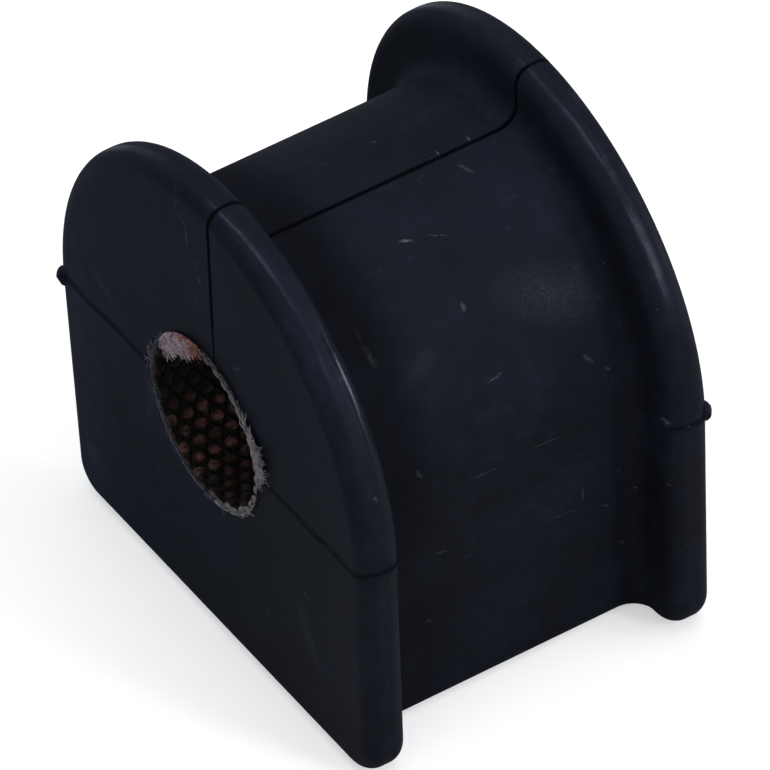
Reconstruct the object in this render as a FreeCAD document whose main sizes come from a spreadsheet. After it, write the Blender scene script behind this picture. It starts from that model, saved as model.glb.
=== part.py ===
import FreeCAD, Part

import math
import os

import Sketcher

# A split rubber bushing that holds a round bar under a U-shaped strap.
# It is a D-shaped spool: two flanges with rounded rims, and between them a narrower seat
# for the strap, with an arched top and a flat base. The bore is lined with woven fabric
# that was bonded in when the rubber was moulded. A knife cut from the bore to the top,
# a little to one side, lets the bushing open over the bar.
# Millimetres. The origin is the middle of the bore, +Y runs along the bore and +Z away from the base.

# Driving dimensions: name, value, what it measures
DIMENSIONS = [
    ("seat_width", 54.0, "strap seat across its arch"),
    ("flange_height", 8.0, "flange above the seat"),
    ("bore_height", 35.5, "bore axis above the flat base"),
    ("arch_rise", 0.9, "middle of the arches above the bore axis"),
    ("bush_length", 51.0, "length along the bore, between the flanges' outer faces where the mould parts"),
    ("flange_thickness", 6.0, "flange, where the mould parts"),
    ("side_draft", 1.5, "lean of the sides below the arch, in degrees"),
    ("face_draft", 0.8, "lean of the outer faces above and below the line where the mould parts, in degrees"),
    ("flange_corner", 5.0, "rounding of the flange's lower corners"),
    ("rim_round", 2.5, "rounding of the flange's edges and of the seat's lower edges"),
    ("root_fillet", 2.8, "fillet between the seat and the flanges"),
    ("bore_diameter", 24.0, "bore in the rubber"),
    ("liner_wall", 1.0, "thickness of the woven liner"),
    ("liner_reach", 0.4, "liner's end beyond the outer face"),
    ("slit_width", 0.3, "knife cut, as it stands open"),
    ("slit_offset", 2.4, "knife cut from the middle of the bore"),
    ("flash_reach", 0.5, "mould flash beyond the flange's rim"),
    ("flash_height", 0.4, "mould flash, measured up and down"),
    ("flash_edge", 0.2, "flash short of the flange's faces, on each side"),
]

# How far a cut runs past what it cuts, in mm
CLEAR = 5.0
# Points closer than this are the same point, in mm
NEAR = 1e-3
# Faces that turn by more than this meet in an edge that gets rounded, in degrees
SHARP_TURN = 10.0
# The most of a rim's thickness that one of its two roundings may take
ROUND_SHARE = 0.44

# Formulas that several sketches share: the arches' radii, the flange's top above the bore, its inner face
# and its rim's rounding
SEAT = "Sizes.seat_width / 2"
FLANGE = "(Sizes.seat_width / 2 + Sizes.flange_height)"
TOP = f"({FLANGE} + Sizes.arch_rise)"
WALL = "(Sizes.bush_length / 2 - Sizes.flange_thickness)"
RIM = f"min(Sizes.rim_round; {ROUND_SHARE} * (Sizes.flange_thickness - {TOP} * tan(Sizes.face_draft)))"


def add_sheet(document):
    """Puts the driving dimensions in a sheet, one row each."""
    sheet = document.addObject("Spreadsheet::Sheet", "Sizes")
    for row, (name, value, meaning) in enumerate(DIMENSIONS, start=1):
        sheet.set(f"A{row}", name)
        sheet.set(f"B{row}", str(value))
        sheet.set(f"C{row}", meaning)
        sheet.setAlias(f"B{row}", name)
    document.recompute()
    return sheet


def origin_plane(body, role):
    """Finds one of the body's own origin planes."""
    return next(item for item in body.Origin.OriginFeatures if item.Role == role)


def add_sketch(body, name, role):
    """Starts a sketch on one of the body's origin planes."""
    sketch = body.newObject("Sketcher::SketchObject", name)
    sketch.AttachmentSupport = [(origin_plane(body, role), "")]
    sketch.MapMode = "FlatFace"
    return sketch


def vec(across, up):
    """A point in a sketch."""
    return FreeCAD.Vector(across, up, 0)


def line(sketch, start, end):
    """Adds a straight line and gives its number."""
    return sketch.addGeometry(Part.LineSegment(vec(*start), vec(*end)), False)


def arc(sketch, centre, radius, first, last):
    """Adds an arc, counter-clockwise between two angles in radians, and gives its number."""
    circle = Part.Circle(vec(*centre), FreeCAD.Vector(0, 0, 1), radius)
    return sketch.addGeometry(Part.ArcOfCircle(circle, first, last), False)


def bind(sketch, name, formula, kind, *geometry):
    """Adds a dimension to a sketch and ties it to a formula in the sheet's names."""
    guess = read(sketch.Document, formula)
    number = sketch.addConstraint(Sketcher.Constraint(kind, *geometry, guess))
    sketch.renameConstraint(number, name)
    sketch.setExpression(f"Constraints.{name}", formula)


def read(document, formula):
    """Works out a formula in the sheet's names."""
    result = document.getObject("Sizes").evalExpression(formula)
    return float(getattr(result, "Value", result))


def join(sketch, *pairs):
    """Makes ends meet: each pair is (line, end, line, end)."""
    for pair in pairs:
        sketch.addConstraint(Sketcher.Constraint("Coincident", *pair))


def base_half(arch, depth):
    """Formula for half the width at a depth below the bore, where the leaning side meets the arch smoothly."""
    return f"({arch} - ({depth} + Sizes.arch_rise) * sin(Sizes.side_draft)) / cos(Sizes.side_draft)"


def add_arch(sketch, name, arch, depth):
    """Draws an arch on two leaning sides, down to a depth, and gives arch, right side and left side."""
    document = sketch.Document
    radius = read(document, arch)
    draft = math.radians(read(document, "Sizes.side_draft"))
    foot = read(document, base_half(arch, depth))
    low = read(document, depth)
    rise = read(document, "Sizes.arch_rise")
    bow = arc(sketch, (0, rise), radius, -draft, math.pi + draft)
    shoulder = (radius * math.cos(draft), rise - radius * math.sin(draft))
    right = line(sketch, shoulder, (foot, -low))
    left = line(sketch, (-foot, -low), (-shoulder[0], shoulder[1]))
    sketch.addConstraint(Sketcher.Constraint("PointOnObject", bow, 3, -2))
    sketch.addConstraint(Sketcher.Constraint("Tangent", bow, 1, right, 1))
    sketch.addConstraint(Sketcher.Constraint("Tangent", left, 2, bow, 2))
    bind(sketch, f"{name}_rise", "Sizes.arch_rise", "DistanceY", -1, 1, bow, 3)
    bind(sketch, f"{name}_radius", arch, "Radius", bow)
    bind(sketch, f"{name}_foot_right", base_half(arch, depth), "DistanceX", -1, 1, right, 2)
    bind(sketch, f"{name}_foot_left", base_half(arch, depth), "DistanceX", left, 1, -1, 1)
    bind(sketch, f"{name}_low_right", depth, "DistanceY", right, 2, -1, 1)
    bind(sketch, f"{name}_low_left", depth, "DistanceY", left, 1, -1, 1)
    return right, left


def add_blank(body):
    """The flanges' D-shaped outline over the whole length."""
    sketch = add_sketch(body, "flange_outline", "XZ_Plane")
    depth = "Sizes.bore_height"
    right, left = add_arch(sketch, "flange", FLANGE, depth)
    foot = read(sketch.Document, base_half(FLANGE, depth))
    low = read(sketch.Document, depth)
    base = line(sketch, (foot, -low), (-foot, -low))
    join(sketch, (right, 2, base, 1), (base, 2, left, 1))
    pad = body.newObject("PartDesign::Pad", "blank")
    pad.Profile = sketch
    pad.Midplane = True
    pad.setExpression("Length", "Sizes.bush_length")


def add_seat(body):
    """Cuts the strap's seat between the flanges: everything outside the smaller D."""
    sketch = add_sketch(body, "seat_outline", "XZ_Plane")
    document = sketch.Document
    depth = f"(Sizes.bore_height + {CLEAR})"
    out = f"{TOP} + {CLEAR}"
    right, left = add_arch(sketch, "seat", SEAT, depth)
    foot = read(document, base_half(SEAT, depth))
    low = read(document, depth)
    wide = read(document, out)
    corners = [(foot, -low), (wide, -low), (wide, wide), (-wide, wide), (-wide, -low), (-foot, -low)]
    frame = [line(sketch, start, end) for start, end in zip(corners, corners[1:])]
    join(sketch, (right, 2, frame[0], 1), (frame[-1], 2, left, 1))
    join(sketch, *[(before, 2, after, 1) for before, after in zip(frame, frame[1:])])
    for flat in (frame[0], frame[2], frame[4]):
        sketch.addConstraint(Sketcher.Constraint("Horizontal", flat))
    for upright in (frame[1], frame[3]):
        sketch.addConstraint(Sketcher.Constraint("Vertical", upright))
    bind(sketch, "frame_right", out, "DistanceX", -1, 1, frame[1], 1)
    bind(sketch, "frame_left", out, "DistanceX", frame[3], 1, -1, 1)
    bind(sketch, "frame_top", out, "DistanceY", -1, 1, frame[2], 1)
    pocket = body.newObject("PartDesign::Pocket", "seat")
    pocket.Profile = sketch
    pocket.Midplane = True
    pocket.setExpression("Length", f"2 * {WALL}")


def add_draft(body):
    """Leans both outer faces back from the line where the mould parts, upwards and downwards."""
    sketch = add_sketch(body, "draft_outline", "YZ_Plane")
    document = sketch.Document
    half = "Sizes.bush_length / 2"
    high = f"{TOP} + {CLEAR}"
    low = f"Sizes.bore_height + {CLEAR}"
    up_fall, down_fall = (f"({reach}) * tan(Sizes.face_draft)" for reach in (high, low))
    out = f"{half} + {CLEAR}"
    middle, top, bottom, up, down, past = (
        read(document, formula) for formula in (half, high, low, up_fall, down_fall, out)
    )
    for name, side in (("front", -1), ("back", 1)):
        corners = [(middle, 0), (middle - up, top), (past, top), (past, -bottom), (middle - down, -bottom), (middle, 0)]
        spots = [(side * along, height) for along, height in corners]
        sides = [line(sketch, start, end) for start, end in zip(spots, spots[1:])]
        join(sketch, *[(before, 2, after, 1) for before, after in zip(sides, sides[1:] + sides[:1])])
        sketch.addConstraint(Sketcher.Constraint("PointOnObject", sides[0], 1, -1))
        for number, kind in ((sides[1], "Horizontal"), (sides[2], "Vertical"), (sides[3], "Horizontal")):
            sketch.addConstraint(Sketcher.Constraint(kind, number))
        for label, formula, number in (
            ("half", half, sides[0]),
            ("top_edge", f"{half} - {up_fall}", sides[1]),
            ("low_edge", f"{half} - {down_fall}", sides[4]),
            ("past", out, sides[2]),
        ):
            ends = (-1, 1, number, 1) if side > 0 else (number, 1, -1, 1)
            bind(sketch, f"{name}_{label}", formula, "DistanceX", *ends)
        bind(sketch, f"{name}_high", high, "DistanceY", -1, 1, sides[1], 1)
        bind(sketch, f"{name}_low", low, "DistanceY", sides[4], 1, -1, 1)
    pocket = body.newObject("PartDesign::Pocket", "draft")
    pocket.Profile = sketch
    pocket.Type = "ThroughAll"
    pocket.Midplane = True
    return pocket


def middle_of(edge):
    """The point half-way along an edge's own parameter."""
    return edge.valueAt((edge.FirstParameter + edge.LastParameter) / 2)


def root_edges(shape, document):
    """Edges where the seat's arch and sides meet the flanges' inner faces."""
    wall = read(document, WALL)
    seat = read(document, SEAT)
    high = seat + read(document, "Sizes.arch_rise")
    low = -read(document, "Sizes.bore_height")
    found = []
    for edge in shape.Edges:
        spots = [middle_of(edge)] + [vertex.Point for vertex in edge.Vertexes]
        on_wall = all(abs(abs(spot.y) - wall) < NEAR for spot in spots)
        within = all(abs(spot.x) < seat + NEAR and spot.z < high + NEAR for spot in spots)
        if on_wall and within and middle_of(edge).z > low + NEAR:
            found.append(edge)
    return found


def corner_edges(shape, document):
    """The flanges' lower corners: edges along the bore at the foot of the leaning sides."""
    low = -read(document, "Sizes.bore_height")
    foot = read(document, base_half(FLANGE, "Sizes.bore_height"))
    found = []
    for edge in shape.Edges:
        spots = [middle_of(edge)] + [vertex.Point for vertex in edge.Vertexes]
        if all(abs(abs(spot.x) - foot) < NEAR and abs(spot.z - low) < NEAR for spot in spots):
            found.append(edge)
    return found


def sharp_edges(shape, document):
    """Edges where two faces turn by a clear angle: the rims and everything round the base."""
    found = []
    for edge in shape.Edges:
        spot = middle_of(edge)
        normals = []
        for face in shape.ancestorsOfType(edge, Part.Face):
            across, along = face.Surface.parameter(spot)
            normals.append(face.normalAt(across, along))
        if len(normals) == 2 and math.degrees(normals[0].getAngle(normals[1])) > SHARP_TURN:
            found.append(edge)
    return found


def add_fillet(body, name, base, finder, formula):
    """Rounds the edges that a finder picks from the last feature."""
    document = body.Document
    chosen = finder(base.Shape, document)
    names = [f"Edge{number}" for number, edge in enumerate(base.Shape.Edges, start=1)
             if any(edge.isSame(other) for other in chosen)]
    if not names:
        raise RuntimeError(f"{name} found no edges")
    fillet = body.newObject("PartDesign::Fillet", name)
    fillet.Base = (base, names)
    fillet.setExpression("Radius", formula)
    document.recompute()
    return fillet


def add_circle(sketch, name, formula):
    """Draws a circle round the origin, its radius tied to a formula."""
    circle = Part.Circle(vec(0, 0), FreeCAD.Vector(0, 0, 1), read(sketch.Document, formula))
    number = sketch.addGeometry(circle, False)
    join(sketch, (number, 3, -1, 1))
    bind(sketch, name, formula, "Radius", number)


def add_bore(body):
    """Cuts the round bore right through along Y."""
    sketch = add_sketch(body, "bore_circle", "XZ_Plane")
    add_circle(sketch, "bore_radius", "Sizes.bore_diameter / 2")
    pocket = body.newObject("PartDesign::Pocket", "bore")
    pocket.Profile = sketch
    pocket.Type = "ThroughAll"
    pocket.Midplane = True


def add_tube(body):
    """The liner before it is cut: a thin tube that fills the bore's wall."""
    sketch = add_sketch(body, "tube_circles", "XZ_Plane")
    add_circle(sketch, "outer_radius", "Sizes.bore_diameter / 2")
    add_circle(sketch, "inner_radius", "Sizes.bore_diameter / 2 - Sizes.liner_wall")
    pad = body.newObject("PartDesign::Pad", "tube")
    pad.Profile = sketch
    pad.Midplane = True
    pad.setExpression("Length", "Sizes.bush_length + 2 * Sizes.liner_reach")


def add_slit(body):
    """Cuts the knife's path from the bore up through the top, over the whole length."""
    sketch = add_sketch(body, "slit_outline", "XZ_Plane")
    document = sketch.Document
    left = "Sizes.slit_offset - Sizes.slit_width / 2"
    right = "Sizes.slit_offset + Sizes.slit_width / 2"
    low = "Sizes.bore_diameter / 4"
    high = f"{TOP} + {CLEAR}"
    west, east, south, north = (read(document, formula) for formula in (left, right, low, high))
    corners = [(west, south), (east, south), (east, north), (west, north), (west, south)]
    sides = [line(sketch, start, end) for start, end in zip(corners, corners[1:])]
    join(sketch, *[(before, 2, after, 1) for before, after in zip(sides, sides[1:] + sides[:1])])
    for number, kind in zip(sides, ("Horizontal", "Vertical", "Horizontal", "Vertical")):
        sketch.addConstraint(Sketcher.Constraint(kind, number))
    bind(sketch, "left", left, "DistanceX", -1, 1, sides[0], 1)
    bind(sketch, "right", right, "DistanceX", -1, 1, sides[1], 1)
    bind(sketch, "low", low, "DistanceY", -1, 1, sides[0], 1)
    bind(sketch, "high", high, "DistanceY", -1, 1, sides[2], 1)
    pocket = body.newObject("PartDesign::Pocket", "slit")
    pocket.Profile = sketch
    pocket.Type = "ThroughAll"
    pocket.Midplane = True


def add_tongue(sketch, name, side, low, high):
    """Draws one tongue of flash on the right, or the same turned half round on the left."""
    document = sketch.Document
    tip = f"{FLANGE} + Sizes.flash_reach"
    heel = f"{FLANGE} - 2 * {RIM}"
    reach, root, near, far = (read(document, formula) for formula in (tip, heel, low, high))
    bend = read(document, RIM)

    def spot(across, along):
        return side * across, side * along

    start = 0 if side > 0 else math.pi
    quarter = math.pi / 2
    bottom = line(sketch, spot(root, near), spot(reach - bend, near))
    lower_bend = arc(sketch, spot(reach - bend, near + bend), bend, start - quarter, start)
    outside = line(sketch, spot(reach, near + bend), spot(reach, far - bend))
    upper_bend = arc(sketch, spot(reach - bend, far - bend), bend, start, start + quarter)
    top = line(sketch, spot(reach - bend, far), spot(root, far))
    inside = line(sketch, spot(root, far), spot(root, near))
    chain = [bottom, lower_bend, outside, upper_bend, top]
    for before, after in zip(chain, chain[1:]):
        sketch.addConstraint(Sketcher.Constraint("Tangent", before, 2, after, 1))
    join(sketch, (top, 2, inside, 1), (inside, 2, bottom, 1))
    for number, kind in ((bottom, "Horizontal"), (top, "Horizontal"), (inside, "Vertical")):
        sketch.addConstraint(Sketcher.Constraint(kind, number))
    for number, label in ((lower_bend, "lower"), (upper_bend, "upper")):
        bind(sketch, f"{name}_{label}_bend", RIM, "Radius", number)
    for label, formula, number in (("root", heel, inside), ("reach", tip, outside)):
        ends = (-1, 1, number, 1) if side > 0 else (number, 1, -1, 1)
        bind(sketch, f"{name}_{label}", formula, "DistanceX", *ends)
    for label, formula, number in (("near", low, bottom), ("far", high, top)):
        value = read(document, formula)
        ahead = (value > 0) == (side > 0)
        ends = (-1, 1, number, 1) if ahead else (number, 1, -1, 1)
        bind(sketch, f"{name}_{label}", formula if value > 0 else f"-({formula})", "DistanceY", *ends)


def add_flash(body):
    """Adds the thin fin of mould flash on each rim, at the height of the bore and on both sides."""
    sketch = add_sketch(body, "flash_outline", "XY_Plane")
    inner = f"{WALL} + Sizes.flash_edge"
    outer = "Sizes.bush_length / 2 - Sizes.flash_edge"
    for side_name, side in (("right", 1), ("left", -1)):
        add_tongue(sketch, f"{side_name}_back", side, inner, outer)
        add_tongue(sketch, f"{side_name}_front", side, f"-({outer})", f"-({inner})")
    pad = body.newObject("PartDesign::Pad", "flash")
    pad.Profile = sketch
    pad.Midplane = True
    pad.setExpression("Length", "Sizes.flash_height")


def new_body(document, name):
    """Starts a piece at the shared origin."""
    body = document.addObject("PartDesign::Body", name)
    body.Label = name
    body.Placement = FreeCAD.Placement()
    return body


def build_rubber(document):
    """The rubber: the D-shaped spool with its bore, its knife cut and its mould flash."""
    body = new_body(document, "rubber_bushing")
    add_blank(body)
    add_seat(body)
    draft = add_draft(body)
    document.recompute()
    roots = add_fillet(body, "roots", draft, root_edges, "Sizes.root_fillet")
    corners = add_fillet(body, "corners", roots, corner_edges, "Sizes.flange_corner")
    add_fillet(body, "rims", corners, sharp_edges, RIM)
    add_flash(body)
    add_bore(body)
    add_slit(body)
    document.recompute()
    return body


def build_liner(document):
    """The woven liner, cut by the same knife as the rubber round it."""
    body = new_body(document, "bore_liner")
    add_tube(body)
    add_slit(body)
    document.recompute()
    return body


def check(document, bodies):
    """Stops if any object is in error or any piece is empty or broken."""
    for item in document.Objects:
        if any(word in state for state in item.State for word in ("Invalid", "Error")):
            raise RuntimeError(f"{item.Label} is in state {item.State}")
    for body in bodies:
        if body.Shape.isNull() or not body.Shape.isValid() or len(body.Shape.Solids) != 1:
            raise RuntimeError(f"{body.Label} is not one sound solid")


def main():
    """Builds the document, checks it and writes each piece."""
    document = FreeCAD.newDocument("bushing")
    add_sheet(document)
    bodies = [build_rubber(document), build_liner(document)]
    check(document, bodies)
    os.makedirs("parts", exist_ok=True)
    for body in bodies:
        body.Shape.exportStep(f"parts/{body.Label}.step")
        box = body.Shape.optimalBoundingBox(False)
        print(body.Label, f"{body.Shape.Volume:.0f} mm3", f"{box.XLength:.2f} x {box.YLength:.2f} x {box.ZLength:.2f}")


main()
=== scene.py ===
import logging
import math
import random
from dataclasses import dataclass
from enum import Enum

import bpy
from mathutils import Matrix, Vector

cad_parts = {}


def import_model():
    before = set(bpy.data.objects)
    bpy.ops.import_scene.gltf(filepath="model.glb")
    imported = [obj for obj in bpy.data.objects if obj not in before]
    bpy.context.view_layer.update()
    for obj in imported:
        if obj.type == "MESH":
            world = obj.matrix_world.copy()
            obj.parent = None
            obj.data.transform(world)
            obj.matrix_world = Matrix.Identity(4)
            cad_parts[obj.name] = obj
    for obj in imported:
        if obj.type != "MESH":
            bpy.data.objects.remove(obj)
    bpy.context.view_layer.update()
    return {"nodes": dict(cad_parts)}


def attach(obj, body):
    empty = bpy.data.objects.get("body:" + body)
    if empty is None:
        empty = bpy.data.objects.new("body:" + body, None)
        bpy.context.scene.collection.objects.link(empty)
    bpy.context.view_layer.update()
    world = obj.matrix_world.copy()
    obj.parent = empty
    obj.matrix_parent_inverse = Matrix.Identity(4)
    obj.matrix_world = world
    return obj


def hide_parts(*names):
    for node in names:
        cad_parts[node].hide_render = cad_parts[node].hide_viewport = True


logger = logging.getLogger("bushing")

MM = 0.001
Color = tuple[float, float, float]
Place = tuple[float, float, float]
Span = tuple[float, float]
Socket = bpy.types.NodeSocket

# Sizes of the moulded rubber and its liner, in millimetres
ARCH_RISE = 0.9
SLIT_OFFSET = 2.4
BORE_RADIUS = 12.0
WEAVE_RADIUS = 11.5
BASE_DEPTH = 35.5

# How far each side leans for each millimetre of height, and the middle of a noise's range
SIDE_TAPER = 0.026
NOISE_MIDDLE = 0.5


class Weave(Enum):
    """The two sets of yarns in the liner."""

    WARP = "warp"
    WEFT = "weft"


class Cotton(Enum):
    """The kinds of loose fibre, each with the name of its piece."""

    WHITE = "white_fluff"
    PALE = "pale_frays"
    DIM = "dim_frays"
    ORANGE = "orange_frays"


@dataclass(frozen=True)
class Clouds:
    """Cloudy noise: clouds for each millimetre, finer layers, their strength and how far all is pulled."""

    scale: float
    detail: float = 2.0
    roughness: float = 0.5
    distortion: float = 0.0


@dataclass(frozen=True)
class Fade:
    """A smooth step: where it starts and ends, and its value at the start and at the end."""

    start: float
    end: float
    low: float = 0.0
    high: float = 1.0


@dataclass
class Coordinates:
    """A piece's own coordinates in millimetres, whole and split."""

    place: Socket
    across: Socket
    along: Socket
    up: Socket


class Graph:
    """Adds nodes to a material's tree and joins them."""

    def __init__(self, tree: bpy.types.NodeTree) -> None:
        """Keeps the tree."""
        self.tree = tree

    def add(self, kind: str, **settings: object) -> bpy.types.Node:
        """Adds a node.

        Args:
            kind: The node's type.
            **settings: Values for the node's own properties.

        Returns:
            The new node.
        """
        node = self.tree.nodes.new(kind)
        for name, value in settings.items():
            setattr(node, name, value)
        return node

    def feed(self, socket: Socket, value: object) -> None:
        """Joins a socket to another one, or sets its value.

        Args:
            socket: The input.
            value: A socket to read, a plain value, or None to leave the input alone.
        """
        if isinstance(value, Socket):
            self.tree.links.new(value, socket)
        elif value is not None:
            socket.default_value = value

    def math(self, operation: str, first: object, second: object = None, clamp: bool = False) -> Socket:
        """Works on one or two numbers.

        Args:
            operation: The Math node's operation.
            first: A number or socket.
            second: A number or socket.
            clamp: Whether the result is held between 0 and 1.

        Returns:
            The result.
        """
        node = self.add("ShaderNodeMath", operation=operation, use_clamp=clamp)
        self.feed(node.inputs[0], first)
        self.feed(node.inputs[1], second)
        return node.outputs[0]

    def times(self, first: object, second: object) -> Socket:
        """Multiplies two numbers."""
        return self.math("MULTIPLY", first, second)

    def plus(self, first: object, second: object) -> Socket:
        """Adds two numbers."""
        return self.math("ADD", first, second)

    def minus(self, first: object, second: object) -> Socket:
        """Takes the second number from the first."""
        return self.math("SUBTRACT", first, second)

    def larger(self, first: object, second: object) -> Socket:
        """The larger of two numbers."""
        return self.math("MAXIMUM", first, second)

    def size(self, value: object) -> Socket:
        """A number without its sign."""
        return self.math("ABSOLUTE", value)

    def length(self, first: Socket, second: Socket) -> Socket:
        """The length of a line that goes so far one way and so far across it."""
        return self.math("SQRT", self.plus(self.times(first, first), self.times(second, second)))

    def vector(self, operation: str, first: object, second: object = None, third: object = None,
               scale: object = None) -> Socket:
        """Works on one, two or three vectors.

        Args:
            operation: The Vector Math node's operation.
            first: A vector or socket.
            second: A vector or socket.
            third: A vector or socket.
            scale: A number or socket, for Scale.

        Returns:
            The resulting vector.
        """
        node = self.add("ShaderNodeVectorMath", operation=operation)
        self.feed(node.inputs[0], first)
        self.feed(node.inputs[1], second)
        self.feed(node.inputs[2], third)
        if scale is not None:
            self.feed(node.inputs["Scale"], scale)
        return node.outputs["Vector"]

    def fade(self, value: object, step: Fade) -> Socket:
        """Takes a value through a smooth step.

        Args:
            value: The socket to read.
            step: The step, whose end may be above or below its start.

        Returns:
            The result.
        """
        node = self.add("ShaderNodeMapRange", interpolation_type="SMOOTHSTEP")
        self.feed(node.inputs["Value"], value)
        for name, given in (("From Min", step.start), ("From Max", step.end), ("To Min", step.low),
                            ("To Max", step.high)):
            node.inputs[name].default_value = given
        return node.outputs["Result"]

    def noise(self, place: Socket, clouds: Clouds) -> bpy.types.Node:
        """Draws cloudy noise.

        Args:
            place: Coordinates.
            clouds: The noise's sizes.

        Returns:
            The node, with its factor first and then its colour.
        """
        node = self.add("ShaderNodeTexNoise")
        self.feed(node.inputs["Vector"], place)
        for name, given in (("Scale", clouds.scale), ("Detail", clouds.detail),
                            ("Roughness", clouds.roughness), ("Distortion", clouds.distortion)):
            node.inputs[name].default_value = given
        return node

    def blend(self, share: object, first: object, second: object) -> Socket:
        """Mixes two colours.

        Args:
            share: How much of the second one.
            first: A colour or socket.
            second: A colour or socket.

        Returns:
            The mixed colour.
        """
        node = self.add("ShaderNodeMix", data_type="RGBA")
        self.feed(node.inputs[0], share)
        self.feed(node.inputs[6], (*first, 1.0) if isinstance(first, tuple) else first)
        self.feed(node.inputs[7], (*second, 1.0) if isinstance(second, tuple) else second)
        return node.outputs[2]

    def bump(self, height: Socket) -> Socket:
        """Turns a height in millimetres into a normal.

        Args:
            height: The height's socket.

        Returns:
            The normal.
        """
        node = self.add("ShaderNodeBump")
        node.inputs["Strength"].default_value = 1.0
        node.inputs["Distance"].default_value = MM
        self.feed(node.inputs["Height"], height)
        return node.outputs["Normal"]

    def millimetres(self) -> Socket:
        """The piece's own coordinates, in millimetres."""
        source = self.add("ShaderNodeTexCoord")
        return self.vector("SCALE", source.outputs["Object"], scale=1 / MM)

    def coordinates(self) -> Coordinates:
        """Reads the piece's own coordinates.

        Returns:
            The coordinates, whole and split.
        """
        place = self.millimetres()
        parts = self.add("ShaderNodeSeparateXYZ")
        self.feed(parts.inputs[0], place)
        return Coordinates(place, *parts.outputs)


def new_material(name: str) -> tuple[bpy.types.Material, Graph, bpy.types.Node]:
    """Starts a material.

    Args:
        name: Its name.

    Returns:
        The material, its graph and its shader.
    """
    material = bpy.data.materials.new(name)
    material.use_nodes = True
    tree = material.node_tree
    return material, Graph(tree), tree.nodes["Principled BSDF"]


@dataclass(frozen=True)
class Mark:
    """A scratch, speck or scuff, or a patch of painted sheen or highlight: a soft stroke between two
    places, in millimetres.
    """

    start: Place
    end: Place
    width: float
    strength: float


SEAT_MARKS: tuple[Mark, ...] = (
    Mark((10.4, -3.0, 25.8), (11.0, -1.5, 25.5), 0.28, 0.9),
    Mark((11.0, 0.1, 25.6), (12.3, 3.1, 24.9), 0.12, 0.5),
    Mark((-5.3, 3.1, 27.4), (-4.7, 3.7, 27.5), 0.25, 0.35),
    Mark((4.6, 9.4, 27.5), (6.5, 10.5, 27.1), 0.35, 0.30),
    Mark((19.0, 0.2, 20.1), (19.4, 0.2, 19.6), 0.45, 0.45),
    Mark((24.8, -0.6, 11.6), (24.6, 2.1, 12.1), 0.16, 0.60),
    Mark((16.5, -13.7, 22.3), (18.5, -13.9, 20.6), 0.40, 0.22),
    Mark((18.5, -13.9, 20.6), (20.9, -13.3, 18.0), 0.55, 0.35),
    Mark((25.5, 13.2, 9.7), (26.0, 14.2, 8.3), 0.35, 0.35),
    Mark((26.3, 15.8, 6.9), (26.4, 16.3, 6.4), 0.30, 0.30),
    Mark((22.4, 16.4, 15.9), (23.7, 18.0, 14.6), 0.20, 0.20),
    Mark((26.7, -12.2, 5.2), (26.9, -11.5, 3.6), 0.30, 0.50),
    Mark((26.7, -10.4, -9.7), (26.7, -7.5, -10.7), 0.14, 0.35),
    Mark((26.8, -10.7, -7.7), (26.8, -7.9, -8.9), 0.12, 0.20),
    Mark((26.7, 11.6, -10.4), (26.7, 11.5, -12.9), 0.16, 0.50),
    Mark((26.7, 16.6, -10.6), (26.7, 17.0, -10.8), 0.30, 0.25),
    Mark((27.4, 18.6, -13.9), (27.6, 18.9, -14.0), 0.30, 0.45),
    Mark((26.4, 16.9, -23.0), (26.5, 17.4, -23.4), 0.35, 0.25),
    Mark((26.6, 14.0, -15.2), (26.6, 15.8, -16.0), 0.20, 0.25),
    Mark((29.8, 19.5, -18.1), (30.5, 19.5, -17.8), 0.30, 0.20),
    Mark((33.3, 19.7, -9.4), (33.6, 19.9, -9.5), 0.25, 0.40),
    Mark((1.2, 8.4, 27.9), (2.1, 8.3, 27.8), 0.22, 0.55),
    Mark((1.3, 13.0, 27.9), (2.1, 12.8, 27.8), 0.22, 0.55),
    # Painted sheen, partly a speckled scuff: three broad soft strokes that lighten the seat in its band of
    # sheen
    Mark((19.8, 7.3, 19.2), (22.3, 14.8, 16.2), 4.5, 0.11),
    Mark((20.9, 9.0, 18.0), (20.2, 12.0, 18.9), 1.6, 0.12),
    Mark((23.0, -11.5, 15.4), (21.6, -5.5, 17.4), 1.7, 0.06),
    Mark((26.6, 4.8, -13.3), (26.6, 11.4, -13.9), 0.14, 0.25),
    Mark((27.0, 3.6, 0.1), (27.0, 8.7, -0.2), 0.14, 0.30),
    Mark((27.0, -5.8, -0.2), (27.0, 0.3, -0.5), 0.16, 0.25),
    Mark((26.5, -11.9, -20.5), (26.4, -10.9, -21.0), 0.25, 0.25),
)

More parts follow.
